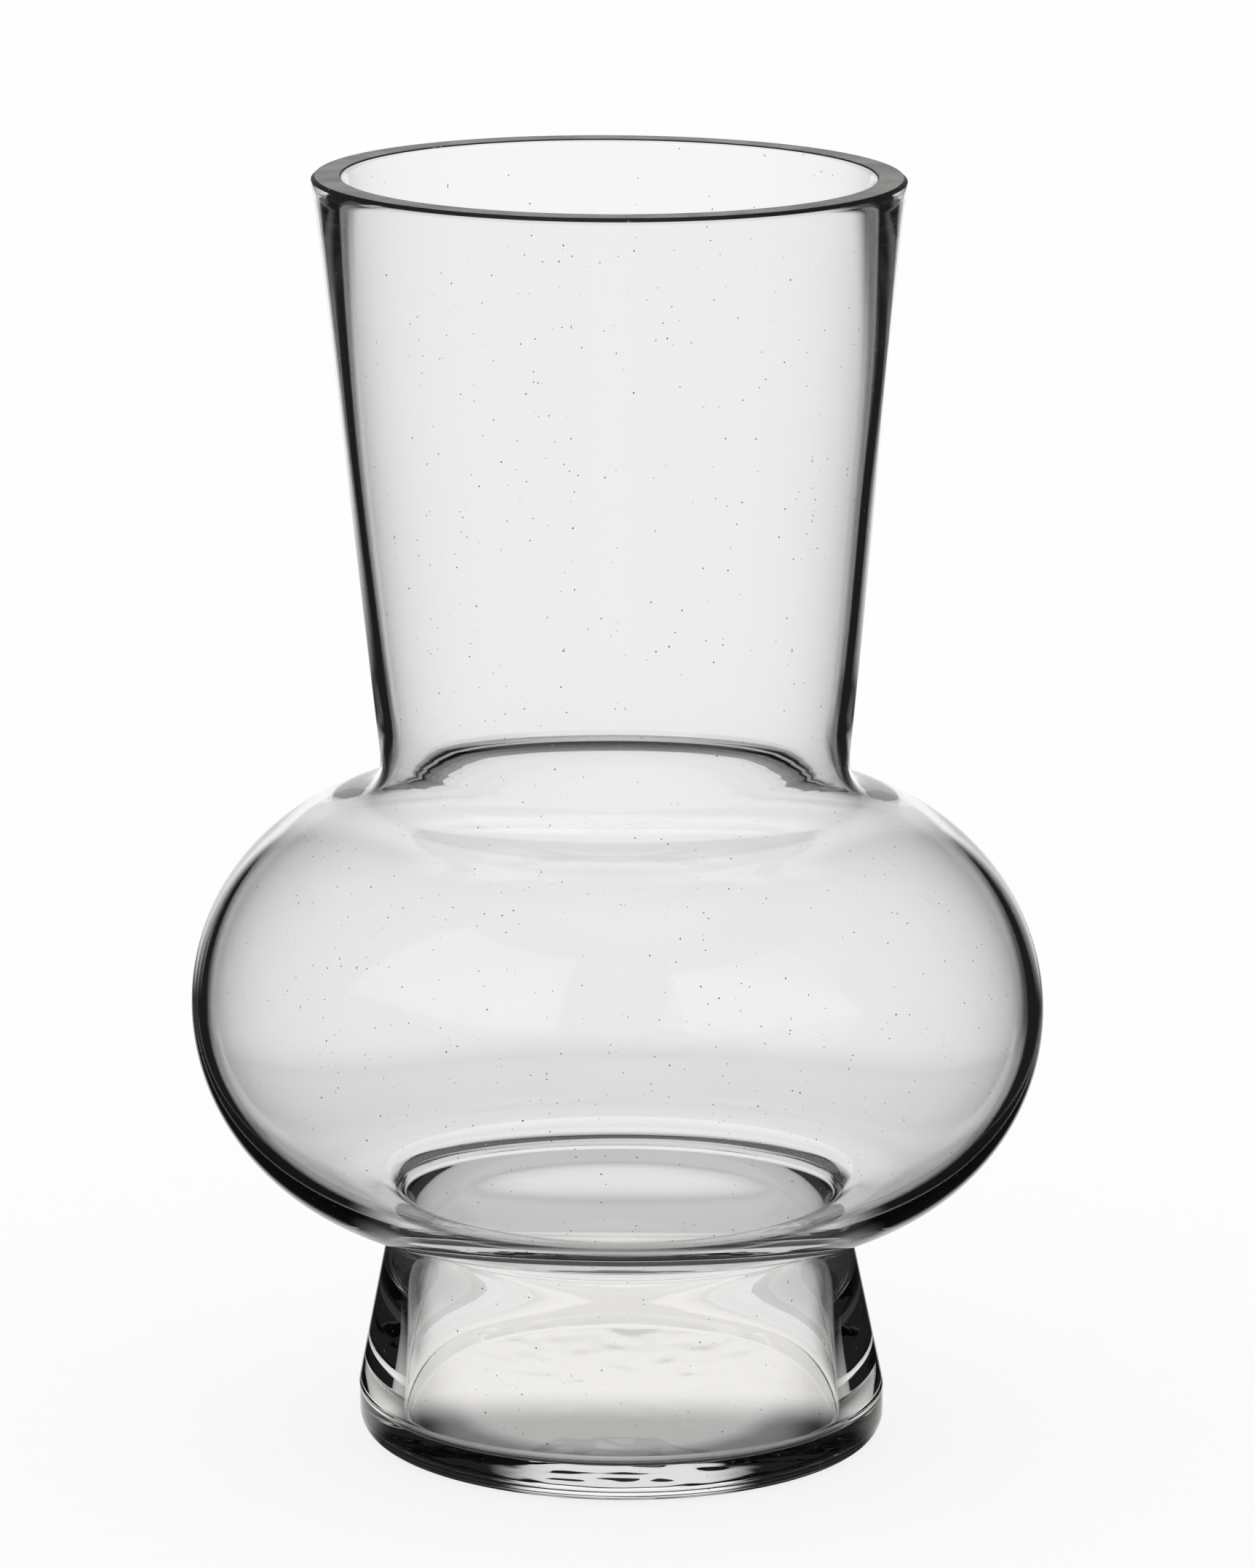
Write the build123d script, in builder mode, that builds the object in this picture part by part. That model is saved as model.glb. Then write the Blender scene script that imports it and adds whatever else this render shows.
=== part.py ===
from build123d import *

import os
from math import acos, atan2, cos, degrees, sqrt

# A trumpet vase of clear blown glass. From the table up it is a thick base, a heavy hollow foot, a
# flattened bulb, a flared neck and a ground rim, welded to each other on flat rings. One continuous hollow
# runs through them, from the mouth down to the floor of the foot. Every section is turned about +Z, the
# origin is the middle of the standing face, and sizes are in millimetres.

# Overall size
overall_height = 270.0

# Base: the solid glass under the foot, with a shallow hollow beneath it
base_diameter = 112.0
base_height = 10.8
base_edge_radius = 5.0
standing_ring_width = 5.0
punt_depth = 0.6

# Foot: a heavy cone between the base and the bulb, round a well that widens a little to its floor
waist_diameter = 97.4
waist_height = 46.6
waist_wall = 3.0
well_floor_wall = 7.8
floor_thickness = 6.8
floor_corner_radius = 1.5

# Bulb: a flattened ball of tangent arcs, open below to the foot and above to the neck
bulb_diameter = 180.0
bulb_fall = 53.3
underside_radius = 187.0
shoulder_radius = 47.0
bulb_wall = 3.0
bulb_shoulder_wall = 2.2
bulb_floor_wall = 5.3
waist_lip_radius = 4.5
collar_height = 8.0
collar_fillet_radius = 7.0

# Neck: the flared trumpet, of even wall up to its head, where the bore curves in to the thicker rim
neck_foot_diameter = 98.8
neck_top_diameter = 122.6
neck_wall = 2.6
thick_head_length = 65.0

# Rim: the cut lip, ground flat and bevelled
rim_height = 2.6
rim_overhang = 0.4
rim_wall = 6.2
rim_outer_bevel = 0.8
rim_inner_bevel = 0.35

# Radii that follow from the sizes above
base_radius = base_diameter / 2
waist_radius = waist_diameter / 2
bulb_radius = bulb_diameter / 2
neck_foot_radius = neck_foot_diameter / 2
neck_top_radius = neck_top_diameter / 2
rim_radius = neck_top_radius + rim_overhang
mouth_radius = rim_radius - rim_wall
standing_radius = base_radius - base_edge_radius
punt_radius = standing_radius - standing_ring_width


def underside_arcs(ball_radius, fall, crown_radius):
    """The radius of the side arc that runs on into the large lower arc, and the angle where they meet."""
    side_radius = (2 * crown_radius * fall - fall**2 - ball_radius**2) / (2 * (crown_radius - ball_radius))
    return side_radius, atan2(crown_radius - fall, ball_radius - side_radius)


def underside_drop(radius, ball_radius, fall, crown_radius):
    """How far below the equator the bulb's underside lies, at this distance from the axis."""
    side_radius, join_angle = underside_arcs(ball_radius, fall, crown_radius)
    if radius > crown_radius * cos(join_angle):
        return sqrt(side_radius**2 - (radius - ball_radius + side_radius) ** 2)
    return sqrt(crown_radius**2 - radius**2) - (crown_radius - fall)


def shoulder_rise(radius, ball_radius, arc_radius):
    """How far above the equator the bulb's shoulder lies, at this distance from the axis."""
    return sqrt(arc_radius**2 - max(0.0, radius - (ball_radius - arc_radius)) ** 2)


def draw_underside(equator, ball_radius, fall, crown_radius):
    """Draw the side arc down from the equator, and the large lower arc after it in to the axis."""
    side_radius, join_angle = underside_arcs(ball_radius, fall, crown_radius)
    join = degrees(join_angle)
    CenterArc((ball_radius - side_radius, equator), side_radius, 0, -join)
    CenterArc((0, equator + crown_radius - fall), crown_radius, -join, join - 90)


def draw_shoulder(equator, ball_radius, arc_radius):
    """Draw the shoulder arc up from the equator, and its level top in to the axis."""
    CenterArc((ball_radius - arc_radius, equator), arc_radius, 0, 90)
    Line((ball_radius - arc_radius, equator + arc_radius), (0, equator + arc_radius))


def ring_at(turned, radius, height):
    """The circular edge of a turned piece that passes nearest to this distance from the axis and height."""
    rings = turned.edges().filter_by(GeomType.CIRCLE).filter_by(Plane.XY)
    return rings.sort_by_distance((radius, 0, height))[0]


# Heights where the sections meet: the bulb sits on the waist ring, the neck on the collar
equator_height = waist_height + underside_drop(waist_radius, bulb_radius, bulb_fall, underside_radius)
shoulder_height = equator_height + shoulder_rise(neck_foot_radius, bulb_radius, shoulder_radius)
collar_top = shoulder_height + collar_height
neck_top = overall_height - rim_height
neck_slope = (neck_top_radius - neck_foot_radius) / (neck_top - collar_top)
collar_drop = collar_top - equator_height

# The hollow follows the outside at each wall's thickness, and its underside is as square as the outside's
bore_radius = bulb_radius - bulb_wall
bore_fall = bulb_fall - bulb_floor_wall
bore_underside_radius = underside_radius * (bore_radius**2 / bore_fall) / (bulb_radius**2 / bulb_fall)
bore_shoulder_radius = shoulder_radius - bulb_shoulder_wall
well_floor_radius = base_radius - well_floor_wall
throat_radius = waist_radius - waist_wall
well_slope = (well_floor_radius - throat_radius) / (waist_height - floor_thickness)
well_equator_radius = throat_radius - well_slope * (equator_height - waist_height)
lip_height = equator_height - underside_drop(throat_radius, bore_radius, bore_fall, bore_underside_radius)
lip_radius = throat_radius - well_slope * (lip_height - waist_height)
neck_bore_radius = neck_foot_radius - neck_wall
bevel_foot = overall_height - rim_inner_bevel
neck_bore_start = equator_height + shoulder_rise(neck_bore_radius, bore_radius, bore_shoulder_radius)
bore_turn_height = max(collar_top, overall_height - thick_head_length)
bore_turn_radius = neck_bore_radius + neck_slope * (bore_turn_height - collar_top)
bore_collar_radius = collar_fillet_radius + neck_wall

# The continuous hollow: the foot's well, the inside of the bulb and the neck's bore
with BuildPart() as hollow:
    with BuildSketch(Plane.XZ):
        with BuildLine():
            Polyline(
                (0, equator_height),
                (0, floor_thickness),
                (well_floor_radius, floor_thickness),
                (well_equator_radius, equator_height),
                close=True,
            )
        make_face()
        with BuildLine():
            draw_underside(equator_height, bore_radius, bore_fall, bore_underside_radius)
            draw_shoulder(equator_height, bore_radius, bore_shoulder_radius)
            Line((0, equator_height - bore_fall), (0, equator_height + bore_shoulder_radius))
        make_face()
        with BuildLine():
            TangentArc(
                (bore_turn_radius, bore_turn_height), (mouth_radius, bevel_foot), tangent=(neck_slope, 1)
            )
            Polyline(
                (bore_turn_radius, bore_turn_height),
                (neck_bore_radius - neck_slope * collar_drop, equator_height),
                (0, equator_height),
                (0, overall_height),
                (mouth_radius + rim_inner_bevel, overall_height),
                (mouth_radius, bevel_foot),
            )
        make_face()
    revolve(axis=Axis.Z)
    fillet(ring_at(hollow, well_floor_radius, floor_thickness), floor_corner_radius)
    fillet(ring_at(hollow, lip_radius, lip_height), waist_lip_radius)
    fillet(ring_at(hollow, neck_bore_radius, neck_bore_start), bore_collar_radius)

# Base: a thick disc that stands on a ring, with a rounded lower edge and the well's floor in its top
with BuildPart() as base:
    with BuildSketch(Plane.XZ):
        with BuildLine():
            punt_arc_radius = (punt_radius**2 + punt_depth**2) / (2 * punt_depth)
            punt_angle = degrees(acos((punt_arc_radius - punt_depth) / punt_arc_radius))
            CenterArc((0, punt_depth - punt_arc_radius), punt_arc_radius, 90 - punt_angle, punt_angle)
            Polyline(
                (punt_radius, 0),
                (base_radius, 0),
                (base_radius, base_height),
                (0, base_height),
                (0, punt_depth),
            )
        make_face()
    revolve(axis=Axis.Z)
    fillet(ring_at(base, base_radius, 0), base_edge_radius)
    add(hollow.part, mode=Mode.SUBTRACT)
base.part.label = "base"

# Foot: the conical wall from the base's crease up to the waist
with BuildPart() as foot:
    with BuildSketch(Plane.XZ):
        with BuildLine():
            Polyline(
                (0, base_height),
                (base_radius, base_height),
                (waist_radius, waist_height),
                (0, waist_height),
                close=True,
            )
        make_face()
    revolve(axis=Axis.Z)
    add(hollow.part, mode=Mode.SUBTRACT)
foot.part.label = "foot"

# Bulb: the flattened ball from the waist ring up to the collar, which a fillet blends into the shoulder
with BuildPart() as bulb:
    with BuildSketch(Plane.XZ):
        with BuildLine():
            draw_underside(equator_height, bulb_radius, bulb_fall, underside_radius)
            draw_shoulder(equator_height, bulb_radius, shoulder_radius)
            Line((0, equator_height - bulb_fall), (0, equator_height + shoulder_radius))
        make_face()
        with BuildLine():
            Polyline(
                (0, equator_height),
                (neck_foot_radius - neck_slope * collar_drop, equator_height),
                (neck_foot_radius, collar_top),
                (0, collar_top),
                close=True,
            )
        make_face()
    revolve(axis=Axis.Z)
    fillet(ring_at(bulb, neck_foot_radius, shoulder_height), collar_fillet_radius)
    split(bisect_by=Plane.XY.offset(waist_height))
    add(hollow.part, mode=Mode.SUBTRACT)
bulb.part.label = "bulb"

# Neck: the trumpet from the collar up to the rim
with BuildPart() as neck:
    with BuildSketch(Plane.XZ):
        with BuildLine():
            Polyline(
                (0, collar_top),
                (neck_foot_radius, collar_top),
                (neck_top_radius, neck_top),
                (0, neck_top),
                close=True,
            )
        make_face()
    revolve(axis=Axis.Z)
    add(hollow.part, mode=Mode.SUBTRACT)
neck.part.label = "neck"

# Rim: the thick cut ring that swells a little past the neck, ground flat on top, with both edges bevelled
with BuildPart() as rim:
    with BuildSketch(Plane.XZ):
        with BuildLine():
            Polyline(
                (0, neck_top),
                (neck_top_radius, neck_top),
                (rim_radius, neck_top + rim_overhang),
                (rim_radius, overall_height - rim_outer_bevel),
                (rim_radius - rim_outer_bevel, overall_height),
                (0, overall_height),
                close=True,
            )
        make_face()
    revolve(axis=Axis.Z)
    add(hollow.part, mode=Mode.SUBTRACT)
rim.part.label = "rim"

os.makedirs("parts", exist_ok=True)
for section in (base, foot, bulb, neck, rim):
    export_step(section.part, f"parts/{section.part.label}.step")
    print(section.part.label, round(section.part.volume), section.part.bounding_box())
print("equator", round(equator_height, 2), "shoulder", round(shoulder_height, 2))
print("collar top", round(collar_top, 2), "bore turn", round(bore_turn_height, 2))
print("well floor", round(well_floor_radius, 2), "lip", round(lip_radius, 2), round(lip_height, 2))
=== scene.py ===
"""A trumpet vase of clear blown glass, dressed and lit for a studio picture.

The vessel is one continuous wall of glass, so its five construction sections are shown as one turned mesh.
Lengths are metres, in the frame of the construction model: +Z up, the standing face at zero, and the
photographed side towards -Y.
"""

import logging
import math
from dataclasses import dataclass
from enum import Enum

import bpy
import numpy as np
from mathutils import Euler, Matrix, Vector, noise


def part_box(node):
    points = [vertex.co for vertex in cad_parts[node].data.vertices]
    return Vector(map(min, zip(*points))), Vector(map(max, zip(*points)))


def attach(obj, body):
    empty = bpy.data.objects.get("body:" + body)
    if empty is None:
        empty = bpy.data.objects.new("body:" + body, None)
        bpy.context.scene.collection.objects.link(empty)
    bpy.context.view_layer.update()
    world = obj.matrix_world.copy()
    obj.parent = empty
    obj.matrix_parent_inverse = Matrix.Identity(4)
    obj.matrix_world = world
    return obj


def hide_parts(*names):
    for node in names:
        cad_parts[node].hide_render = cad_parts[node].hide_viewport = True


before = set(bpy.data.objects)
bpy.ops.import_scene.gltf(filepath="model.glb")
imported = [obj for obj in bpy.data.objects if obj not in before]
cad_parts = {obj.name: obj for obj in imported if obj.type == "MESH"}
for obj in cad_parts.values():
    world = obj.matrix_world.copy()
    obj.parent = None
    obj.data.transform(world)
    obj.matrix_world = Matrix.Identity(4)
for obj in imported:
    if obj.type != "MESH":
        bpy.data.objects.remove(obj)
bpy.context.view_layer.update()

LOG = logging.getLogger("vase")
MM = 0.001
PHOTO_HEIGHT_PX = 2156
SAME_POINT = 1e-7
SHORTEST_RUN = 1e-6
TRAPPED_TURNS = 3.5
MAX_BOUNCES = 32
GLOSSY_BOUNCES = 16
WHITE = (1.0, 1.0, 1.0, 1.0)

Point = tuple[float, float]
Number = float | bpy.types.NodeSocket


class Surface(Enum):
    """The finishes on the vessel's wall, by the place of their material on the mesh."""

    CLEAR = 0
    GROUND = 1


class RayUse(Enum):
    """What the studio's surroundings ask of a ray."""

    CAMERA = "Is Camera Ray"
    GLOSSY = "Is Glossy Ray"
    TRANSMISSION = "Is Transmission Ray"
    DIFFUSE_DEPTH = "Diffuse Depth"
    GLOSSY_DEPTH = "Glossy Depth"


class Seen(Enum):
    """How a panel of the studio is seen: by how often the glass turns the ray back on its way."""

    STRAIGHT = "straight"
    TURNED = "turned"
    TRAPPED = "trapped"


def arc(
    centre: Point, radius: float, start: float, stop: float, step: float = math.radians(2.0)
) -> list[Point]:
    """Walk a circular arc of a half section.

    Args:
        centre: The arc's centre, as distance from the axis and height.
        radius: The arc's radius.
        start: The angle to start from, in radians, anticlockwise from outwards.
        stop: The angle to end at.
        step: The widest angle between two points.

    Returns:
        The points from start to stop, both included.
    """
    count = max(3, math.ceil(abs(stop - start) / step))
    angles = [start + (stop - start) * i / count for i in range(count + 1)]
    return [(centre[0] + radius * math.cos(a), centre[1] + radius * math.sin(a)) for a in angles]


def run(start: Point, stop: Point, spacing: float = 2.0 * MM) -> list[Point]:
    """Walk a straight run of a half section, with its points closer together towards the ends.

    Args:
        start: Where the run starts.
        stop: Where it ends.
        spacing: The mean distance between points.

    Returns:
        The points from start to stop, both included.
    """
    count = max(4, math.ceil(math.dist(start, stop) / spacing) + 2)
    shares = [(1 - math.cos(math.pi * i / count)) / 2 for i in range(count + 1)]
    return [(start[0] + (stop[0] - start[0]) * s, start[1] + (stop[1] - start[1]) * s) for s in shares]


def angle_of(centre: Point, point: Point) -> float:
    """The angle of a point about a centre, in radians."""
    return math.atan2(point[1] - centre[1], point[0] - centre[0])


def bend(first: float, second: float) -> float:
    """The turn from one heading to another, in radians, the shorter way round."""
    return (second - first + math.pi) % math.tau - math.pi


def short_arc(centre: Point, start: Point, stop: Point, step: float = math.radians(5.0)) -> list[Point]:
    """Walk the shorter arc about a centre from one point to another.

    Args:
        centre: The arc's centre.
        start: A point on the arc, where it starts.
        stop: The point where it ends.
        step: The widest angle between two points.

    Returns:
        The points from start to stop, both included.
    """
    first = angle_of(centre, start)
    return arc(centre, math.dist(centre, start), first, first + bend(first, angle_of(centre, stop)), step)


def tangent_centre(before: Point, start: Point, stop: Point) -> Point:
    """Find the centre of the arc that carries a straight run on to a point.

    Args:
        before: A point of the straight run.
        start: The end of the run, where the arc starts.
        stop: The point where the arc ends.

    Returns:
        The arc's centre.
    """
    length = math.dist(before, start)
    across = ((before[1] - start[1]) / length, (start[0] - before[0]) / length)
    reach = (stop[0] - start[0], stop[1] - start[1])
    radius = (reach[0] ** 2 + reach[1] ** 2) / (2 * (reach[0] * across[0] + reach[1] * across[1]))
    return (start[0] + radius * across[0], start[1] + radius * across[1])


def joined(*stretches: list[Point]) -> list[Point]:
    """Join stretches of a section end to end, leaving out the doubled points between them.

    Args:
        stretches: Lists of points, each starting where the last one ends.

    Returns:
        One list of points.
    """
    points: list[Point] = []
    for stretch in stretches:
        for point in stretch:
            if not points or math.dist(points[-1], point) > SAME_POINT:
                points.append(point)
    return points


def spread(line: np.ndarray, weights: np.ndarray) -> np.ndarray:
    """Take a weighted mean along an evenly spaced line, whose ends stay where they are.

    Args:
        line: The line's points, one a row.
        weights: An odd number of weights that add up to 1.

    Returns:
        The new points, as many as before.
    """
    half = len(weights) // 2
    before = 2 * line[0] - line[half:0:-1]
    after = 2 * line[-1] - line[-2 : -half - 2 : -1]
    longer = np.concatenate([before, line, after])
    return np.stack([np.convolve(longer[:, k], weights, "valid") for k in range(2)], axis=1)


def eased(points: list[Point], reach: float, spacing: float = 0.5 * MM) -> list[Point]:
    """Let the bends of a line flow into each other, as in hot glass, without drawing the line in.

    Args:
        points: The line, whose ends stay where they are.
        reach: How far along the line each bend spreads.
        spacing: How closely the line is followed.

    Returns:
        The eased line, with the points that its bends need.
    """
    line = np.array(points)
    along = np.concatenate([[0.0], np.cumsum(np.hypot(*np.diff(line, axis=0).T))])
    places = np.linspace(0.0, along[-1], math.ceil(along[-1] / spacing) + 1)
    line = np.stack([np.interp(places, along, line[:, k]) for k in range(2)], axis=1)
    half = math.ceil(3 * reach / places[1])
    weights = np.exp(-0.5 * (np.arange(-half, half + 1) * places[1] / reach) ** 2)
    weights /= weights.sum()
    once = spread(line, weights)
    return thinned([tuple(point) for point in (2 * once - spread(once, weights)).tolist()])


def thinned(points: list[Point], turn: float = math.radians(2.0), gap: float = 2.5 * MM) -> list[Point]:
    """Keep the points of a finely drawn line that its bends need.

    Args:
        points: The line.
        turn: The widest turn between two kept points.
        gap: The widest distance between two kept points.

    Returns:
        The kept points, both ends included.
    """
    kept, heading = [points[0]], angle_of(points[0], points[1])
    for point, after in zip(points[1:], points[2:]):
        ahead = angle_of(point, after)
        if abs(bend(heading, ahead)) > turn or math.dist(kept[-1], point) > gap:
            kept.append(point)
            heading = ahead
    return kept + [points[-1]]


@dataclass(frozen=True)
class Blend:
    """A round blend between a straight wall and an arc, on the side away from the axis."""

    centre: Point
    on_line: Point
    on_arc: Point

    @classmethod
    def between(
        cls, low: Point, high: Point, ball_arc: tuple[Point, float], radius: float, above: bool
    ) -> "Blend":
        """Find the blend of a given radius.

        Args:
            low: A point of the straight wall.
            high: A higher point of the wall.
            ball_arc: The arc's centre and radius.
            radius: The blend's radius.
            above: Whether the blend lies above the arc's centre.

        Returns:
            The blend.
        """
        arc_centre, arc_radius = ball_arc
        length = math.dist(low, high)
        along = ((high[0] - low[0]) / length, (high[1] - low[1]) / length)
        outward = (along[1], -along[0])
        start = (low[0] + outward[0] * radius, low[1] + outward[1] * radius)
        to_start = (start[0] - arc_centre[0], start[1] - arc_centre[1])
        reach = arc_radius + radius
        half = to_start[0] * along[0] + to_start[1] * along[1]
        root = math.sqrt(half**2 - (to_start[0] ** 2 + to_start[1] ** 2 - reach**2))
        step = -half + root if above else -half - root
        centre = (start[0] + along[0] * step, start[1] + along[1] * step)
        on_line = (centre[0] - outward[0] * radius, centre[1] - outward[1] * radius)
        share = arc_radius / reach
        on_arc = tuple(c + (p - c) * share for c, p in zip(arc_centre, centre))
        return cls(centre, on_line, on_arc)

    def down(self) -> list[Point]:
        """The blend's points from the straight wall to the arc."""
        return short_arc(self.centre, self.on_line, self.on_arc)

    def up(self) -> list[Point]:
        """The blend's points from the arc to the straight wall."""
        return short_arc(self.centre, self.on_arc, self.on_line)


@dataclass(frozen=True)
class Ball:
    """One skin of the flattened bulb: a shoulder arc above the equator, a side and a large arc below."""

    equator: float
    radius: float
    fall: float
    lower_radius: float
    shoulder_radius: float
    lower_step: float = math.radians(0.4)

    @property
    def side_radius(self) -> float:
        """The side arc's radius, which makes it run on into the large lower arc."""
        reach = 2 * self.lower_radius * self.fall - self.fall**2 - self.radius**2
        return reach / (2 * (self.lower_radius - self.radius))

    @property
    def lower(self) -> tuple[Point, float]:
        """The large lower arc's centre, on the axis, and its radius."""
        return (0.0, self.equator + self.lower_radius - self.fall), self.lower_radius

    @property
    def shoulder(self) -> tuple[Point, float]:
        """The shoulder arc's centre and radius."""
        return (self.radius - self.shoulder_radius, self.equator), self.shoulder_radius

    def upwards(self, start: Point, stop: Point) -> list[Point]:
        """Walk the skin from a point of its underside up to a point of its shoulder.

        Args:
            start: A point on the large lower arc.
            stop: A point on the shoulder arc.

        Returns:
            The skin's points, both ends included.
        """
        side_centre = (self.radius - self.side_radius, self.equator)
        join = -math.atan2(self.lower_radius - self.fall, self.radius - self.side_radius)
        lower_centre, shoulder_centre = self.lower[0], self.shoulder[0]
        lower = arc(lower_centre, self.lower_radius, angle_of(lower_centre, start), join, self.lower_step)
        side = arc(side_centre, self.side_radius, join, 0.0)
        shoulder = arc(shoulder_centre, self.shoulder_radius, 0.0, angle_of(shoulder_centre, stop))
        return joined(lower, side, shoulder)


@dataclass(frozen=True)
class Unevenness:
    """How a hand-made wall strays from a true turned one: in waves of one length, up to one distance."""

    reach: float
    wave: float

    def at(self, place: Vector, layer: float) -> float:
        """The wall's departure at a place, on one of several layers that don't repeat each other."""
        return self.reach * noise.noise(place / self.wave + Vector((0.0, 0.0, layer)))


@dataclass
class Vessel:
    """The continuous glass wall, from the standing ring over the rim and down the hollow to the floor."""

    base_radius: float
    base_height: float
    waist_height: float
    bulb_radius: float
    collar_top: float
    neck_top: float
    neck_top_radius: float
    rim_radius: float
    rim_top: float
    base_edge_radius: float = 5.0 * MM
    standing_ring: float = 5.0 * MM
    punt_depth: float = 0.6 * MM
    crease_radius: float = 0.7 * MM
    waist_radius: float = 48.7 * MM
    waist_weld_radius: float = 1.0 * MM
    waist_wall: float = 3.0 * MM
    well_floor_radius: float = 48.2 * MM
    floor_thickness: float = 6.8 * MM
    floor_corner_radius: float = 1.5 * MM
    bulb_fall: float = 53.3 * MM
    underside_radius: float = 187.0 * MM
    shoulder_radius: float = 47.0 * MM
    bulb_wall: float = 3.0 * MM
    bulb_shoulder_wall: float = 2.2 * MM
    bulb_floor_wall: float = 5.3 * MM
    waist_lip_radius: float = 4.5 * MM
    collar_fillet_radius: float = 7.0 * MM
    inner_collar_radius: float = 9.2 * MM
    neck_foot_radius: float = 49.4 * MM
    neck_wall: float = 2.6 * MM
    head_wall: float = 2.9 * MM
    thick_head_length: float = 65.0 * MM
    rim_flare_length: float = 9.0 * MM
    rim_wall: float = 6.2 * MM
    rim_outer_bevel: float = 0.8 * MM
    rim_inner_bevel: float = 0.35 * MM
    edge_softness: float = 0.15 * MM
    flow: float = 3.5 * MM
    inner_flow: float = 6.0 * MM
    lean: float = 0.0145
    wall_waves: Unevenness = Unevenness(0.05 * MM, 40.0 * MM)
    base_waves: Unevenness = Unevenness(0.03 * MM, 9.0 * MM)
    floor_waves: Unevenness = Unevenness(0.08 * MM, 10.0 * MM)
    punt_waves: Unevenness = Unevenness(0.15 * MM, 6.0 * MM)
    floor_waves_fade: float = 0.25
    outer_layer: float = 0.0
    inner_layer: float = 9.5
    floor_middle_layer: float = 1.0
    underside_step: float = math.radians(0.08)
    base_edge_step: float = math.radians(8.0)
    head_step: float = math.radians(0.15)
    base_side_spacing: float = 1.0 * MM
    lip_spacing: float = 0.5 * MM
    softest_share: float = 0.4
    soft_corner_steps: int = 4
    segments: int = 288
    name: str = "vessel"
    nodes: tuple[str, ...] = ("base", "foot", "bulb", "neck", "rim")

    @classmethod
    def from_frame(cls) -> "Vessel":
        """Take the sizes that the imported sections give."""
        base, foot, bulb, neck, rim = (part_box(node) for node in cls.nodes)
        return cls(
            base_radius=base[1].x,
            base_height=base[1].z,
            waist_height=foot[1].z,
            bulb_radius=bulb[1].x,
            collar_top=bulb[1].z,
            neck_top=neck[1].z,
            neck_top_radius=neck[1].x,
            rim_radius=rim[1].x,
            rim_top=rim[1].z,
        )

    @property
    def neck_slope(self) -> float:
        """How much the neck widens for each unit of height."""
        return (self.neck_top_radius - self.neck_foot_radius) / (self.neck_top - self.collar_top)

    @property
    def foot_slope(self) -> float:
        """How much the foot narrows for each unit of height."""
        return (self.base_radius - self.waist_radius) / (self.waist_height - self.base_height)

    def outer_ball(self) -> Ball:
        """The bulb's outer skin, whose underside meets the waist."""
        waist_depth = math.sqrt(self.underside_radius**2 - self.waist_radius**2)
        drop = waist_depth - (self.underside_radius - self.bulb_fall)
        equator = self.waist_height + drop
        return Ball(equator, self.bulb_radius, self.bulb_fall, self.underside_radius, self.shoulder_radius)

    def inner_ball(self) -> Ball:
        """The bulb's inner skin, as square below as the outer one."""
        outer = self.outer_ball()
        radius = outer.radius - self.bulb_wall
        fall = outer.fall - self.bulb_floor_wall
        lower = outer.lower_radius * (radius**2 / fall) / (outer.radius**2 / outer.fall)
        return Ball(outer.equator, radius, fall, lower, outer.shoulder_radius - self.bulb_shoulder_wall)

    def foot_outside(self, weld: Point) -> list[Point]:
        """Walk the outside of the base and the foot.

        Args:
            weld: Where the foot's wall starts to blend into the bulb.

        Returns:
            The points from the middle of the underside up to the weld.
        """
        stand = self.base_radius - self.base_edge_radius
        punt = stand - self.standing_ring
        punt_arc = (punt**2 + self.punt_depth**2) / (2 * self.punt_depth)
        punt_centre = (0.0, self.punt_depth - punt_arc)
        edge_centre = (stand, self.base_edge_radius)
        lean = math.atan(self.foot_slope)
        tangent = self.crease_radius * math.tan(lean / 2)
        low = (self.base_radius, self.base_height - tangent)
        high = (self.base_radius - tangent * math.sin(lean), self.base_height + tangent * math.cos(lean))
        return joined(
            arc(punt_centre, punt_arc, math.pi / 2, angle_of(punt_centre, (punt, 0.0)), self.underside_step),
            run((punt, 0.0), (stand, 0.0)),
            arc(edge_centre, self.base_edge_radius, -math.pi / 2, 0.0, self.base_edge_step),
            run((self.base_radius, self.base_edge_radius), low, self.base_side_spacing),
            short_arc((self.base_radius - self.crease_radius, low[1]), low, high),
            run(high, weld),
        )

    def outside(self) -> list[Point]:
        """The section's outer line, from the middle of the underside up to the rim's bevel."""
        ball = self.outer_ball()
        crease = (self.base_radius, self.base_height)
        waist = (self.waist_radius, self.waist_height)
        neck_foot = (self.neck_foot_radius, self.collar_top)
        flare_height = self.rim_top - self.rim_flare_length
        flare = (self.neck_foot_radius + self.neck_slope * (flare_height - self.collar_top), flare_height)
        edge = (self.rim_radius, self.rim_top - self.rim_outer_bevel)
        weld = Blend.between(crease, waist, ball.lower, self.waist_weld_radius, above=False)
        collar = Blend.between(neck_foot, flare, ball.shoulder, self.collar_fillet_radius, above=True)
        body = joined(
            ball.upwards(weld.on_arc, collar.on_arc),
            collar.up(),
            run(collar.on_line, flare),
            run(flare, edge),
        )
        return joined(self.foot_outside(weld.on_line), weld.down(), eased(body, self.flow))

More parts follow.
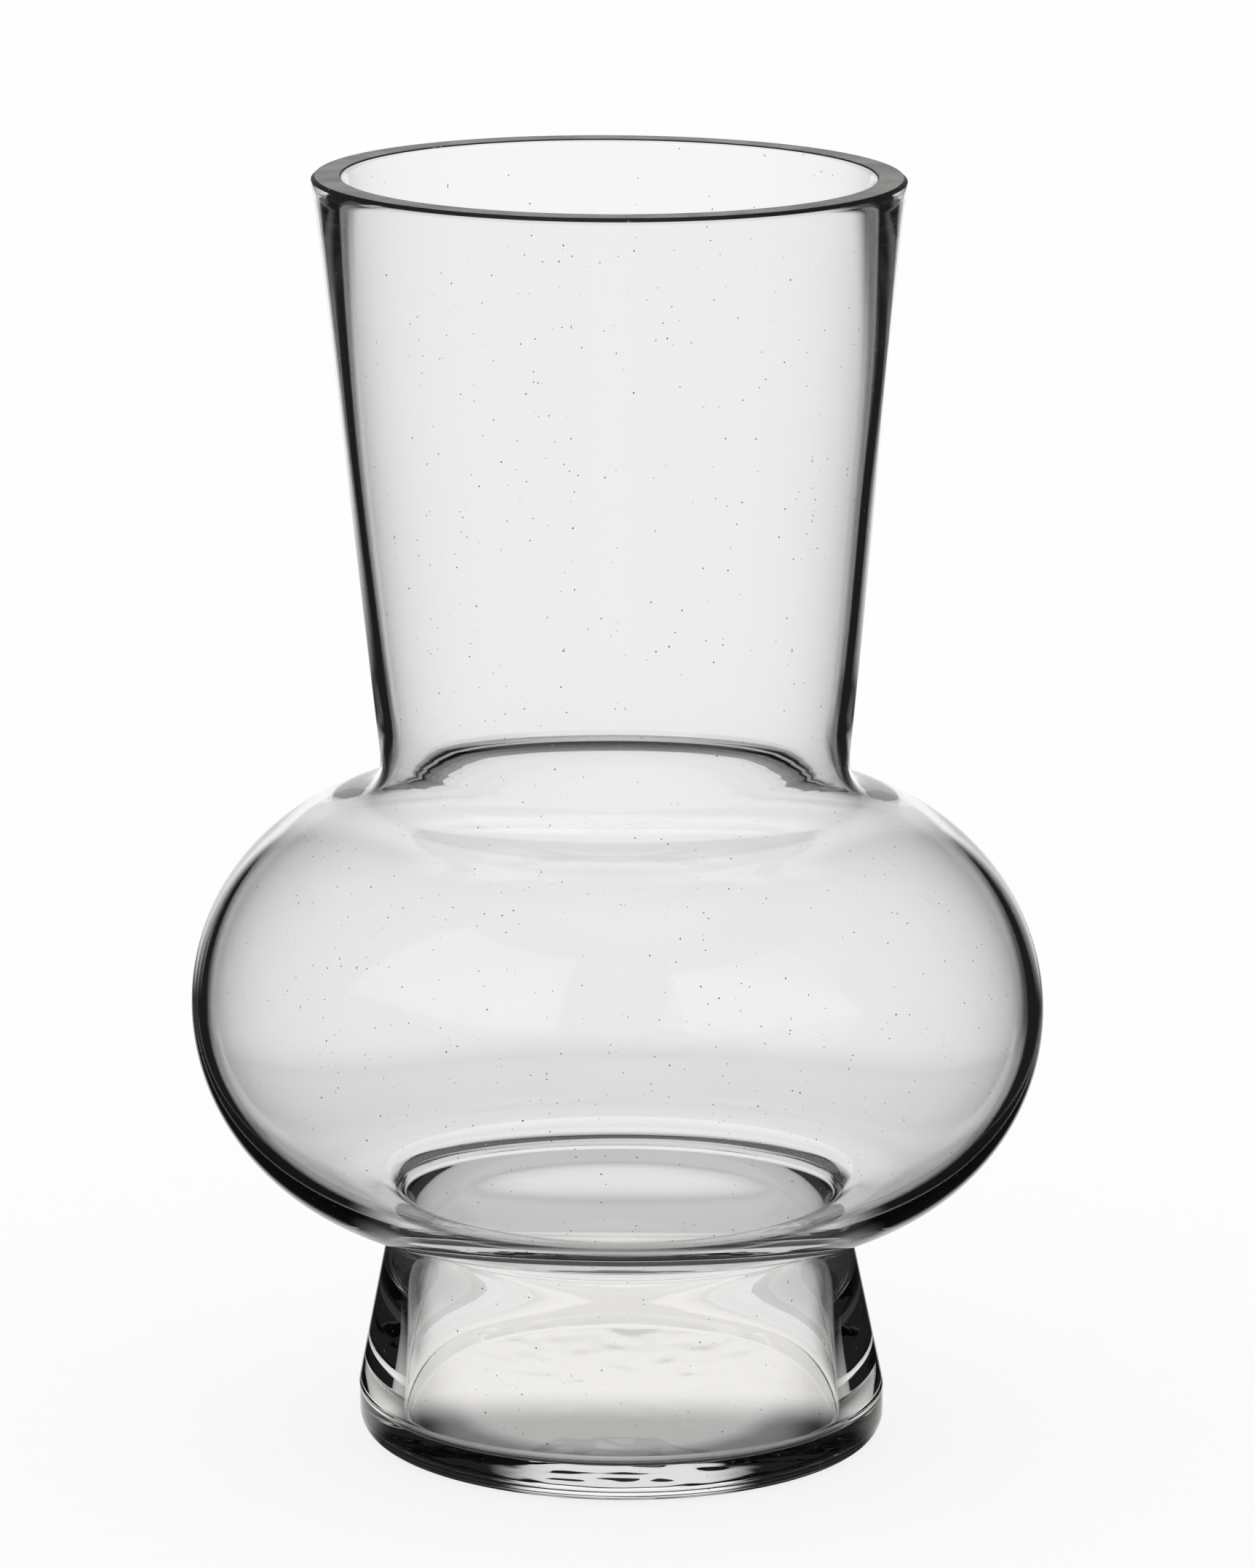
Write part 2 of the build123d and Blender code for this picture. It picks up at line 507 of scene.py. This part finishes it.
    def lip(self) -> list[Point]:
        """The ground lip, from the neck's outer edge over both bevels to the mouth."""
        mouth = self.rim_radius - self.rim_wall
        corners = [
            (self.rim_radius, self.rim_top - self.rim_outer_bevel),
            (self.rim_radius - self.rim_outer_bevel, self.rim_top),
            (mouth + self.rim_inner_bevel, self.rim_top),
            (mouth, self.rim_top - self.rim_inner_bevel),
        ]
        points = [corners[0]]
        for before, corner, after in zip(corners, corners[1:], corners[2:]):
            points += self.softened(before, corner, after)
        points.append(corners[-1])
        pairs = zip(points, points[1:])
        stretches = [run(a, b, self.lip_spacing) for a, b in pairs if math.dist(a, b) > SHORTEST_RUN]
        return joined(*stretches)

    def softened(self, before: Point, corner: Point, after: Point) -> list[Point]:
        """Take the sharpness off a corner with a small quadratic curve.

        Args:
            before: The corner before it.
            corner: The corner.
            after: The corner after it.

        Returns:
            Points along the curve.
        """
        ends = []
        for other in (before, after):
            share = min(self.softest_share, self.edge_softness / math.dist(corner, other))
            ends.append(tuple(c + (o - c) * share for c, o in zip(corner, other)))
        curve = []
        points = (ends[0], corner, ends[1])
        for i in range(self.soft_corner_steps + 1):
            t = i / self.soft_corner_steps
            weights = ((1 - t) ** 2, 2 * t * (1 - t), t**2)
            curve.append(tuple(sum(w * p[k] for w, p in zip(weights, points)) for k in range(2)))
        return curve

    def inside(self) -> list[Point]:
        """The section's inner line, from the mouth down the hollow to the middle of the floor."""
        ball = self.inner_ball()
        mouth = (self.rim_radius - self.rim_wall, self.rim_top - self.rim_inner_bevel)
        neck_foot = (self.neck_foot_radius - self.neck_wall, self.collar_top)
        turn_height = self.rim_top - self.thick_head_length
        turn_outside = self.neck_foot_radius + self.neck_slope * (turn_height - self.collar_top)
        turn = (turn_outside - self.head_wall, turn_height)
        collar = Blend.between(neck_foot, turn, ball.shoulder, self.inner_collar_radius, above=True)
        head = short_arc(tangent_centre(neck_foot, turn, mouth), mouth, turn, self.head_step)
        foot = (self.well_floor_radius, self.floor_thickness)
        throat = (self.waist_radius - self.waist_wall, self.waist_height)
        slant = math.atan2(foot[0] - throat[0], throat[1] - foot[1])
        tangent = self.floor_corner_radius / math.tan(math.pi / 4 - slant / 2)
        high = (foot[0] - tangent * math.sin(slant), foot[1] + tangent * math.cos(slant))
        low = (foot[0] - tangent, foot[1])
        lip = Blend.between(high, throat, ball.lower, self.waist_lip_radius, above=False)
        body = joined(
            head,
            run(turn, collar.on_line),
            collar.down(),
            list(reversed(ball.upwards(lip.on_arc, collar.on_arc))),
            lip.up(),
            run(lip.on_line, high),
        )
        floor = run(low, (0.0, self.floor_thickness))
        corner = short_arc((low[0], foot[1] + self.floor_corner_radius), high, low)
        return joined(eased(body, self.inner_flow), corner, floor)

    def place(self, point: Point, turn: float, layer: float) -> Vector:
        """Set a point of the section at its place on the hand-made wall.

        Args:
            point: The point's distance from the axis and height.
            turn: The angle round the axis, in radians.
            layer: The layer of the unevenness, which differs outside and inside.

        Returns:
            The place.
        """
        radius, height = point
        across = Vector((math.cos(turn), math.sin(turn), 0.0))
        place = across * radius + Vector((0.0, 0.0, height))
        steady = min(1.0, (self.rim_top - height) / self.rim_flare_length)
        steady *= min(1.0, height / self.base_height)
        place += across * steady * self.wall_waves.at(place, layer)
        if radius > self.waist_radius and 0.0 < height < self.base_height:
            share = math.sin(math.pi * height / self.base_height)
            place += across * (share * self.base_waves.at(place, layer) - share * self.base_waves.reach / 2)
        punt = self.base_radius - self.base_edge_radius - self.standing_ring
        if layer and radius < punt and height < self.base_height:
            share = min(1.0, (1 - radius / punt) / self.floor_waves_fade)
            place.z += share * self.floor_waves.at(place, layer)
        elif radius < punt and height <= self.punt_depth:
            place.z += height / self.punt_depth * self.punt_waves.at(place, layer)
        place.x -= self.lean * (height - self.outer_ball().equator)
        return place

    def build(self) -> bpy.types.Object:
        """Turn the section into one closed mesh.

        Returns:
            The vessel's object.
        """
        outside = self.outside()
        over = joined(outside, self.lip())
        section = joined(over, self.inside())
        rows = section[1:-1]
        turns = [math.tau * k / self.segments for k in range(self.segments)]
        verts = [
            self.place(section[0], 0.0, self.outer_layer),
            self.place(section[-1], 0.0, self.floor_middle_layer),
        ]
        for i, point in enumerate(rows):
            layer = self.inner_layer if i + 1 >= len(over) else self.outer_layer
            verts += [self.place(point, turn, layer) for turn in turns]
        faces, surfaces = [], []
        for k in range(self.segments):
            after = (k + 1) % self.segments
            faces.append((0, 2 + after, 2 + k))
            surfaces.append(Surface.CLEAR.value)
            for i in range(len(rows) - 1):
                low, high = 2 + i * self.segments, 2 + (i + 1) * self.segments
                faces.append((low + k, low + after, high + after, high + k))
                ground = len(outside) - 2 <= i < len(over) - 2
                surfaces.append((Surface.GROUND if ground else Surface.CLEAR).value)
            last = 2 + (len(rows) - 1) * self.segments
            faces.append((1, last + k, last + after))
            surfaces.append(Surface.CLEAR.value)
        mesh = bpy.data.meshes.new(self.name)
        mesh.from_pydata(verts, [], faces)
        mesh.polygons.foreach_set("material_index", surfaces)
        mesh.polygons.foreach_set("use_smooth", [True] * len(faces))
        mesh.update()
        piece = bpy.data.objects.new(self.name, mesh)
        bpy.context.scene.collection.objects.link(piece)
        return piece


class Nodes:
    """The nodes of one tree, added and linked in one go."""

    def __init__(self, tree: bpy.types.NodeTree) -> None:
        """Work in this tree."""
        self.tree = tree

    def give(self, socket: bpy.types.NodeSocket, value: object) -> None:
        """Link a socket to an input, or set the input to a plain value."""
        if isinstance(value, bpy.types.NodeSocket):
            self.tree.links.new(value, socket)
        else:
            socket.default_value = value

    def add(self, kind: str, inputs: dict[str, object] | None = None, **settings: object) -> bpy.types.Node:
        """Add one node.

        Args:
            kind: The node's type, without the words that all of them share.
            inputs: Values or sockets, by the names of the node's inputs.
            settings: The node's own settings.

        Returns:
            The node.
        """
        node = self.tree.nodes.new(f"ShaderNode{kind}")
        for name, setting in settings.items():
            setattr(node, name, setting)
        for name, value in (inputs or {}).items():
            self.give(node.inputs[name], value)
        return node

    def value(self, operation: str, *values: Number) -> bpy.types.NodeSocket:
        """Add one sum.

        Args:
            operation: The sum, by its name in the node.
            values: Numbers, or sockets to link.

        Returns:
            The result's socket.
        """
        node = self.add("Math", operation=operation)
        for socket, value in zip(node.inputs, values):
            self.give(socket, value)
        return node.outputs[0]

    def between(self, first: Number, second: Number, share: bpy.types.NodeSocket) -> bpy.types.NodeSocket:
        """Add a mean of two values.

        Args:
            first: The value where the share is 0.
            second: The value where the share is 1.
            share: How much of the second value is taken.

        Returns:
            The mean's socket.
        """
        change = self.value("SUBTRACT", second, first)
        return self.value("ADD", first, self.value("MULTIPLY", change, share))

    def step(self, value: bpy.types.NodeSocket, zero: Number, one: Number) -> bpy.types.NodeSocket:
        """Add a soft step.

        Args:
            value: What the step follows.
            zero: The value at which it is 0.
            one: The value at which it is 1.

        Returns:
            The step's socket.
        """
        inputs = {"Value": value, "From Min": zero, "From Max": one}
        return self.add("MapRange", inputs, interpolation_type="SMOOTHSTEP").outputs["Result"]

    def colour(self, first: object, second: object, share: bpy.types.NodeSocket) -> bpy.types.NodeSocket:
        """Add a mean of two colours.

        Args:
            first: The colour where the share is 0, plain or from a socket.
            second: The colour where the share is 1.
            share: How much of the second colour is taken.

        Returns:
            The colour's socket.
        """
        node = self.add("Mix", data_type="RGBA")
        for socket, value in zip((node.inputs[0], node.inputs[6], node.inputs[7]), (share, first, second)):
            self.give(socket, (*value, 1.0) if isinstance(value, tuple) else value)
        return node.outputs[2]

    def place(self) -> bpy.types.NodeSocket:
        """The place on the piece, in metres."""
        return self.add("TexCoord").outputs["Object"]

    def height(self) -> bpy.types.NodeSocket:
        """The height above the table, in metres."""
        return self.add("SeparateXYZ", {"Vector": self.place()}).outputs["Z"]

    def effect(self, tree: bpy.types.NodeTree, inputs: dict[str, object]) -> bpy.types.NodeSocket:
        """Place a shared effect.

        Args:
            tree: The effect's node group.
            inputs: The group's values here, by name.

        Returns:
            The effect's output.
        """
        node = self.tree.nodes.new("ShaderNodeGroup")
        node.node_tree = tree
        for name, value in inputs.items():
            self.give(node.inputs[name], value)
        return node.outputs[0]


class Effects:
    """The effects that both finishes use, as node groups."""

    smallest_speck: float = 0.3
    speck_core: float = 0.6
    patch_edges: tuple[float, float] = (0.3, 0.7)

    def __init__(self) -> None:
        """Build each group once."""
        self.specks = self.build_specks()
        self.mottle = self.build_mottle()

    def group(self, name: str, inputs: dict[str, str]) -> tuple[Nodes, bpy.types.Node, bpy.types.Node]:
        """Start a group that puts out one value.

        Args:
            name: The group's name.
            inputs: The types of its inputs, by name.

        Returns:
            The group's nodes, its input node and its output node.
        """
        tree = bpy.data.node_groups.new(name, "ShaderNodeTree")
        for label, kind in inputs.items():
            tree.interface.new_socket(label, in_out="INPUT", socket_type=f"NodeSocket{kind}")
        tree.interface.new_socket("Value", in_out="OUTPUT", socket_type="NodeSocketFloat")
        return Nodes(tree), tree.nodes.new("NodeGroupInput"), tree.nodes.new("NodeGroupOutput")

    def build_specks(self) -> bpy.types.NodeTree:
        """Dust and lint: small round or drawn-out specks, one in some of the cells of a scattered grid."""
        nodes, taken, given = self.group(
            "specks", {"Stretch": "Vector", "Scale": "Float", "Size": "Float", "Share": "Float"}
        )
        place = nodes.add("VectorMath", operation="MULTIPLY")
        nodes.give(place.inputs[0], nodes.place())
        nodes.give(place.inputs[1], taken.outputs["Stretch"])
        cells = nodes.add("TexVoronoi", {"Vector": place.outputs[0], "Scale": taken.outputs["Scale"]})
        chances = nodes.add("SeparateColor", {"Color": cells.outputs["Color"]}).outputs
        growth = nodes.value("ADD", chances[1], self.smallest_speck)
        reach = nodes.value("MULTIPLY", taken.outputs["Size"], growth)
        core = nodes.value("MULTIPLY", reach, self.speck_core)
        speck = nodes.step(cells.outputs["Distance"], reach, core)
        held = nodes.value("LESS_THAN", chances[0], taken.outputs["Share"])
        nodes.give(given.inputs["Value"], nodes.value("MULTIPLY", speck, held))
        return nodes.tree

    def build_mottle(self) -> bpy.types.NodeTree:
        """Soft unevenness between two values, in patches of one size."""
        nodes, taken, given = self.group(
            "mottle", {"Scale": "Float", "Detail": "Float", "Low": "Float", "High": "Float"}
        )
        patches = nodes.add("TexNoise", {"Vector": nodes.place()})
        for name in ("Scale", "Detail"):
            nodes.give(patches.inputs[name], taken.outputs[name])
        share = nodes.step(patches.outputs[0], *self.patch_edges)
        nodes.give(given.inputs["Value"], nodes.between(taken.outputs["Low"], taken.outputs["High"], share))
        return nodes.tree


def new_material(name: str) -> tuple[bpy.types.Material, Nodes, bpy.types.Node]:
    """Start a material.

    Args:
        name: The material's name.

    Returns:
        The material, its nodes and its shader.
    """
    material = bpy.data.materials.new(name)
    material.use_nodes = True
    return material, Nodes(material.node_tree), material.node_tree.nodes["Principled BSDF"]


@dataclass(frozen=True)
class ClearGlass:
    """Clear blown glass, fire polished, with a thin haze inside the bulb, dust and lint."""

    haze_low: float
    haze_high: float
    name: str = "clear_glass"
    clear: tuple[float, float, float] = (1.0, 1.0, 1.0)
    haze: tuple[float, float, float] = (0.975, 0.975, 0.972)
    haze_edge: float = 15.0 * MM
    dust: tuple[float, float, float] = (0.03, 0.029, 0.028)
    dust_roughness: float = 0.8
    ior: float = 1.51

    def material(self, effects: Effects) -> bpy.types.Material:
        """Build the finish.

        Args:
            effects: The shared effects.

        Returns:
            The material.
        """
        material, nodes, shader = new_material(self.name)
        height = nodes.height()
        hazy = nodes.value(
            "MULTIPLY",
            nodes.step(height, self.haze_low - self.haze_edge, self.haze_low + self.haze_edge),
            nodes.step(height, self.haze_high + self.haze_edge, self.haze_high - self.haze_edge),
        )
        specks = nodes.effect(
            effects.specks, {"Stretch": (1.0, 1.0, 1.0), "Scale": 330.0, "Size": 0.062, "Share": 0.9}
        )
        lint = nodes.effect(
            effects.specks, {"Stretch": (1.0, 0.45, 0.2), "Scale": 260.0, "Size": 0.032, "Share": 0.5}
        )
        dirt = nodes.value("MAXIMUM", specks, lint)
        patchy = nodes.effect(effects.mottle, {"Scale": 45.0, "Detail": 3.0, "Low": 0.6, "High": 1.0})
        tint = nodes.colour(self.clear, self.haze, nodes.value("MULTIPLY", hazy, patchy))
        nodes.give(shader.inputs["Base Color"], nodes.colour(tint, self.dust, dirt))
        nodes.give(shader.inputs["Roughness"], nodes.value("MULTIPLY", dirt, self.dust_roughness))
        shader.inputs["IOR"].default_value = self.ior
        shader.inputs["Transmission Weight"].default_value = 1.0
        return material


@dataclass(frozen=True)
class GroundGlass:
    """The cut lip: ground flat to a grey satin, with small chips; its bevels are painted near black, as
    painted shade for the dark surroundings that they refract.
    """

    top: float
    name: str = "ground_rim"
    pale: tuple[float, float, float] = (0.32, 0.31, 0.29)
    dark: tuple[float, float, float] = (0.15, 0.145, 0.136)
    # Painted shade: the bevels' near-black colour stands in for the dark surroundings that they refract.
    bevel_painted_shade: tuple[float, float, float] = (0.012, 0.012, 0.012)
    chip: tuple[float, float, float] = (0.5, 0.49, 0.47)
    bevel_edge: float = 0.12 * MM
    grain: float = 0.01 * MM
    grain_share: float = 0.5
    chip_share: float = 0.4
    roughness: float = 0.4
    roughness_range: float = 0.2
    ior: float = 1.51
    clearness: float = 0.2

    def material(self, effects: Effects) -> bpy.types.Material:
        """Build the finish.

        Args:
            effects: The shared effects.

        Returns:
            The material.
        """
        material, nodes, shader = new_material(self.name)
        flat = nodes.step(nodes.height(), self.top - self.bevel_edge, self.top - self.bevel_edge / 4)
        grain = nodes.effect(effects.mottle, {"Scale": 1800.0, "Detail": 4.0, "Low": 0.0, "High": 1.0})
        clouds = nodes.effect(effects.mottle, {"Scale": 110.0, "Detail": 4.0, "Low": 0.0, "High": 1.0})
        shares = nodes.between(clouds, grain, nodes.value("MULTIPLY", grain, self.grain_share))
        ground = nodes.colour(self.dark, self.pale, shares)
        chips = nodes.effect(
            effects.specks, {"Stretch": (1.0, 1.0, 1.0), "Scale": 700.0, "Size": 0.22, "Share": 0.25}
        )
        # Painted shade: below the ground flat, on the bevels, the lip is painted near black.
        bevels_shaded = nodes.colour(self.bevel_painted_shade, ground, flat)
        chipped = nodes.colour(bevels_shaded, self.chip, nodes.value("MULTIPLY", chips, self.chip_share))
        rough = nodes.value("MULTIPLY_ADD", grain, self.roughness_range, self.roughness)
        nodes.give(shader.inputs["Base Color"], chipped)
        nodes.give(shader.inputs["Roughness"], rough)
        bump = nodes.add("Bump", {"Strength": 1.0, "Distance": self.grain, "Height": grain})
        nodes.give(shader.inputs["Normal"], bump.outputs[0])
        shader.inputs["IOR"].default_value = self.ior
        shader.inputs["Transmission Weight"].default_value = self.clearness
        return material


@dataclass(frozen=True)
class Panel:
    """A bright panel of the studio, as the directions that it covers round the vase.

    Azimuth 0 is behind the vase as photographed, and grows towards +X. Angles are in degrees.
    """

    seen: Seen
    azimuth: float
    half_width: float
    low: float
    high: float
    strength: float
    side_edge: float
    level_edge: float

    def shown(self, nodes: Nodes, direction: list[bpy.types.NodeSocket]) -> bpy.types.NodeSocket:
        """Add the panel's brightness.

        Args:
            nodes: The world's nodes.
            direction: The direction's parts along X and Y, and its elevation.

        Returns:
            The brightness, which is 0 outside the panel.
        """
        x, y, elevation = direction
        turn = math.radians(self.azimuth)
        cosine, sine = math.cos(turn), math.sin(turn)
        x_cosine, x_sine = (nodes.value("MULTIPLY", x, share) for share in (cosine, sine))
        y_cosine, y_sine = (nodes.value("MULTIPLY", y, share) for share in (cosine, sine))
        across = nodes.value("SUBTRACT", x_cosine, y_sine)
        ahead = nodes.value("ADD", x_sine, y_cosine)
        aside = nodes.value("DEGREES", nodes.value("ABSOLUTE", nodes.value("ARCTAN2", across, ahead)))
        mask = nodes.step(aside, self.half_width + self.side_edge, self.half_width - self.side_edge)
        above = nodes.step(elevation, self.low - self.level_edge, self.low + self.level_edge)
        below = nodes.step(elevation, self.high + self.level_edge, self.high - self.level_edge)
        mask = nodes.value("MULTIPLY", mask, nodes.value("MULTIPLY", above, below))
        return nodes.value("MULTIPLY", mask, self.strength)


@dataclass
class Studio:
    """The pale floor, the bright panels round the vase and the even soft light."""

    base_radius: float
    panels: tuple[Panel, ...] = (
        Panel(
            Seen.STRAIGHT, azimuth=-1.5, half_width=17.0, low=-19.0, high=55.0,
            strength=1.0, side_edge=4.0, level_edge=3.0,
        ),
        Panel(
            Seen.STRAIGHT, azimuth=0.0, half_width=24.0, low=-24.0, high=-15.5,
            strength=0.88, side_edge=9.0, level_edge=2.5,
        ),
        Panel(
            Seen.STRAIGHT, azimuth=0.0, half_width=14.0, low=-60.0, high=-22.0,
            strength=0.62, side_edge=4.0, level_edge=3.0,
        ),
        Panel(
            Seen.STRAIGHT, azimuth=0.0, half_width=180.0, low=-90.0, high=-50.0,
            strength=0.5, side_edge=1.0, level_edge=6.0,
        ),
        Panel(
            Seen.STRAIGHT, azimuth=-45.0, half_width=18.0, low=-34.0, high=-17.0,
            strength=0.95, side_edge=6.0, level_edge=3.0,
        ),
        Panel(
            Seen.STRAIGHT, azimuth=-90.0, half_width=18.0, low=-18.0, high=10.0,
            strength=0.95, side_edge=6.0, level_edge=3.0,
        ),
        Panel(
            Seen.STRAIGHT, azimuth=135.0, half_width=18.0, low=-28.0, high=-4.0,
            strength=0.95, side_edge=6.0, level_edge=3.0,
        ),
        Panel(
            Seen.TURNED, azimuth=-1.0, half_width=17.0, low=-12.0, high=6.0,
            strength=1.0, side_edge=2.0, level_edge=1.5,
        ),
        Panel(
            Seen.TURNED, azimuth=-1.0, half_width=17.0, low=2.0, high=55.0,
            strength=0.8, side_edge=6.0, level_edge=4.0,
        ),
        Panel(
            Seen.TURNED, azimuth=0.0, half_width=12.0, low=-90.0, high=-14.0,
            strength=0.68, side_edge=4.0, level_edge=3.0,
        ),
        Panel(
            Seen.TURNED, azimuth=0.0, half_width=40.0, low=-90.0, high=-50.0,
            strength=0.62, side_edge=15.0, level_edge=5.0,
        ),
        Panel(
            Seen.TURNED, azimuth=-130.0, half_width=33.0, low=22.0, high=62.0,
            strength=0.4, side_edge=0.8, level_edge=0.8,
        ),
        Panel(
            Seen.TURNED, azimuth=134.0, half_width=26.0, low=20.0, high=54.0,
            strength=0.3, side_edge=0.8, level_edge=0.8,
        ),
        Panel(
            Seen.TURNED, azimuth=0.0, half_width=180.0, low=75.0, high=90.0,
            strength=0.25, side_edge=1.0, level_edge=12.0,
        ),
        Panel(
            Seen.TRAPPED, azimuth=-1.0, half_width=17.0, low=15.0, high=55.0,
            strength=0.8, side_edge=2.0, level_edge=2.0,
        ),
        Panel(
            Seen.TRAPPED, azimuth=-1.0, half_width=17.0, low=-5.0, high=20.0,
            strength=0.1, side_edge=2.0, level_edge=2.0,
        ),
        Panel(
            Seen.TRAPPED, azimuth=0.0, half_width=40.0, low=-90.0, high=-50.0,
            strength=0.3, side_edge=15.0, level_edge=5.0,
        ),
    )
    gloom: float = 0.012
    soft_light: float = 0.95
    floor_radius: float = 6.0
    floor_glow: float = 0.78
    shade_depth: float = 0.5 * MM
    shade_front: float = 0.4
    shade_back: float = 1.0
    shade_start: float = -18.0 * MM
    shade_stop: float = 2.0 * MM
    shade_ring: float = 0.04
    shade_reach: float = 30.0 * MM
    ring_start: float = 31.0 * MM
    ring_stop: float = 38.5 * MM
    shade_tint: tuple[float, float, float] = (1.0, 0.985, 0.96)
    shade_sides: int = 64

    def build(self) -> None:
        """Make the surroundings, the floor and the shade under the vase."""
        self.world()
        self.floor()
        self.shade()

    def world(self) -> None:
        """White for the camera, the bright panels for gloss and glass, an even soft light for the rest."""
        world = bpy.data.worlds.new("studio")
        bpy.context.scene.world = world
        world.use_nodes = True
        world.node_tree.nodes.clear()
        nodes = Nodes(world.node_tree)
        split = nodes.add("SeparateXYZ", {"Vector": nodes.add("TexCoord").outputs["Generated"]}).outputs
        elevation = nodes.value("DEGREES", nodes.value("ARCSINE", split["Z"]))
        patterns: dict[Seen, Number] = {seen: self.gloom for seen in Seen}
        for panel in self.panels:
            shown = panel.shown(nodes, [split["X"], split["Y"], elevation])
            patterns[panel.seen] = nodes.value("MAXIMUM", patterns[panel.seen], shown)
        rays = nodes.add("LightPath").outputs
        through = nodes.value("MAXIMUM", rays[RayUse.GLOSSY.value], rays[RayUse.TRANSMISSION.value])
        lit = nodes.value("SUBTRACT", 1.0, nodes.value("MINIMUM", rays[RayUse.DIFFUSE_DEPTH.value], 1.0))
        turns = rays[RayUse.GLOSSY_DEPTH.value]
        turned = nodes.value("MINIMUM", turns, 1.0)
        trapped = nodes.value("GREATER_THAN", turns, TRAPPED_TURNS)
        pattern = nodes.between(patterns[Seen.STRAIGHT], patterns[Seen.TURNED], turned)
        pattern = nodes.between(pattern, patterns[Seen.TRAPPED], trapped)
        light = nodes.between(self.soft_light, pattern, nodes.value("MULTIPLY", through, lit))
        light = nodes.value("MAXIMUM", light, rays[RayUse.CAMERA.value])
        background = nodes.add("Background", {"Color": WHITE, "Strength": light})
        nodes.add("OutputWorld", {"Surface": background.outputs[0]})

    def flat_piece(
        self, name: str, corners: list[tuple[float, float, float]]
    ) -> tuple[bpy.types.Object, Nodes]:
        """Make one flat piece of the stage.

        Args:
            name: The piece's name.
            corners: Its corners, in order.

        Returns:
            The piece, and the empty nodes of its material.
        """
        mesh = bpy.data.meshes.new(name)
        mesh.from_pydata(corners, [], [tuple(range(len(corners)))])
        piece = bpy.data.objects.new(name, mesh)
        bpy.context.scene.collection.objects.link(piece)
        material = bpy.data.materials.new(name)
        material.use_nodes = True
        material.node_tree.nodes.clear()
        mesh.materials.append(material)
        return piece, Nodes(material.node_tree)

    def floor(self) -> None:
        """A plain pale floor, which keeps the vase's shadow."""
        reach = self.floor_radius
        signs = ((-1, -1), (1, -1), (1, 1), (-1, 1))
        piece, nodes = self.flat_piece("floor", [(x * reach, y * reach, 0.0) for x, y in signs])
        paint = nodes.add("BsdfDiffuse", {"Color": WHITE})
        white = nodes.add("Emission", {"Color": WHITE})
        rays = nodes.add("LightPath").outputs
        glow = nodes.value("MULTIPLY", rays[RayUse.CAMERA.value], self.floor_glow)
        mix = nodes.add("MixShader", {"Fac": glow})
        nodes.give(mix.inputs[1], paint.outputs[0])
        nodes.give(mix.inputs[2], white.outputs[0])
        nodes.add("OutputMaterial", {"Surface": mix.outputs[0]})
        piece.visible_transmission = False
        piece.visible_glossy = False

    def shade(self) -> None:
        """A glowing disc below the floor, seen only through the glass, with the table's light and the vase's
        shadow painted on it: lit from behind, dim in front and dark at the base's edge.
        """
        angles = [math.tau * k / self.shade_sides for k in range(self.shade_sides)]
        reach = self.base_radius + self.shade_reach
        piece, nodes = self.flat_piece(
            "shade", [(reach * math.cos(t), reach * math.sin(t), -self.shade_depth) for t in angles]
        )
        place = nodes.place()
        back = nodes.add("SeparateXYZ", {"Vector": place}).outputs["Y"]
        behind = nodes.step(back, self.shade_start, self.shade_stop)
        out = nodes.add("VectorMath", operation="LENGTH")
        nodes.give(out.inputs[0], place)
        ring = nodes.step(out.outputs["Value"], self.ring_start, self.ring_stop)
        front = nodes.between(self.shade_front, self.shade_ring, ring)
        light = nodes.between(front, self.shade_back, behind)
        turns = nodes.add("LightPath").outputs[RayUse.GLOSSY_DEPTH.value]
        light = nodes.between(light, self.shade_ring, nodes.value("GREATER_THAN", turns, TRAPPED_TURNS))
        glow = nodes.add("Emission", {"Color": (*self.shade_tint, 1.0), "Strength": light})
        mix = nodes.add("MixShader", {"Fac": nodes.step(out.outputs["Value"], reach, self.base_radius)})
        nodes.give(mix.inputs[1], nodes.add("BsdfTransparent").outputs[0])
        nodes.give(mix.inputs[2], glow.outputs[0])
        nodes.add("OutputMaterial", {"Surface": mix.outputs[0]})
        piece.visible_camera = False
        piece.visible_diffuse = False
        piece.visible_shadow = False


@dataclass(frozen=True)
class PhotoCamera:
    """The camera at the photograph's place. Lengths are metres, and angles degrees."""

    distance: float = 1579.4 * MM
    height: float = 493.1 * MM
    sideways: float = 1.87 * MM
    pitch: float = 12.569
    roll: float = 0.3
    focal_px: float = 10571.9
    sensor_mm: float = 36.0

    def build(self) -> None:
        """Make the camera and give it to the scene."""
        data = bpy.data.cameras.new("photo_camera")
        data.sensor_width = self.sensor_mm
        data.lens = self.focal_px / PHOTO_HEIGHT_PX * self.sensor_mm
        camera = bpy.data.objects.new("photo_camera", data)
        aim = Euler((math.radians(90.0 - self.pitch), 0.0, 0.0)).to_matrix().to_4x4()
        turn = Matrix.Rotation(math.radians(self.roll), 4, "Z")
        place = Matrix.Translation(Vector((self.sideways, -self.distance, self.height)))
        camera.matrix_world = place @ aim @ turn
        bpy.context.scene.collection.objects.link(camera)
        bpy.context.scene.camera = camera


def main() -> None:
    """Build the camera, the vessel and the studio, and log the vessel's face count."""
    logging.basicConfig(level=logging.INFO, format="%(name)s: %(message)s")
    bpy.context.scene.view_settings.view_transform = "Standard"
    cycles = bpy.context.scene.cycles
    cycles.max_bounces = MAX_BOUNCES
    cycles.glossy_bounces = GLOSSY_BOUNCES
    cycles.transmission_bounces = MAX_BOUNCES
    PhotoCamera().build()
    vessel = Vessel.from_frame()
    piece = vessel.build()
    effects = Effects()
    for finish in (ClearGlass(vessel.waist_height, vessel.collar_top), GroundGlass(vessel.rim_top)):
        piece.data.materials.append(finish.material(effects))
    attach(piece, "root")
    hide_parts(*vessel.nodes)
    LOG.info("%s: %d faces", piece.name, len(piece.data.polygons))
    Studio(vessel.base_radius).build()


if __name__ == "__main__":
    main()
